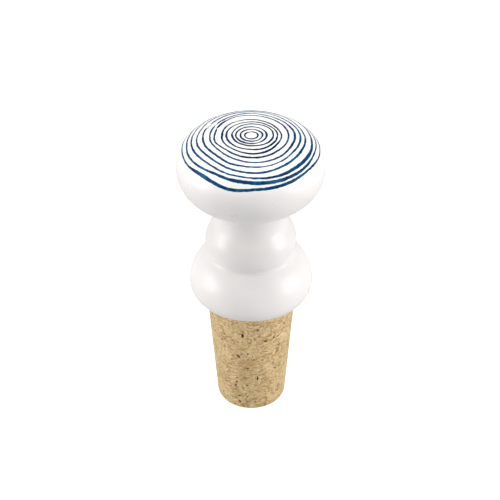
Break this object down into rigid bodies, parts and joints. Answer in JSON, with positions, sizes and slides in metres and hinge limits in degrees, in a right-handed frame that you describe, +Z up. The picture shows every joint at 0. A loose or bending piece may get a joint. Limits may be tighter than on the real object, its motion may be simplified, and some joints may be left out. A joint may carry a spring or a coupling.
{
  "type": "bottle stopper",
  "caption": "Bottle stopper: turned white ceramic knob with blue painted growth rings on its domed top, pinned to a tapered pressed cork.",
  "frame": {"origin": "centre of the cork's flat end face, which the stopper stands on", "axes": "+Z up the turned axis from the cork to the knob's crown; -Y is the side where the painted rings are boldest"},
  "size_m": [0.038, 0.038, 0.0838],
  "materials": {
    "white_glaze": "gloss",
    "blue_paint": "gloss",
    "pressed_cork": "matte",
    "beech": "matte"
  },
  "bodies": {
    "root": {"knob": "white_glaze", "painted_rings": "blue_paint", "cork": "pressed_cork", "joining_pin": "beech"}
  },
  "joints": []
}
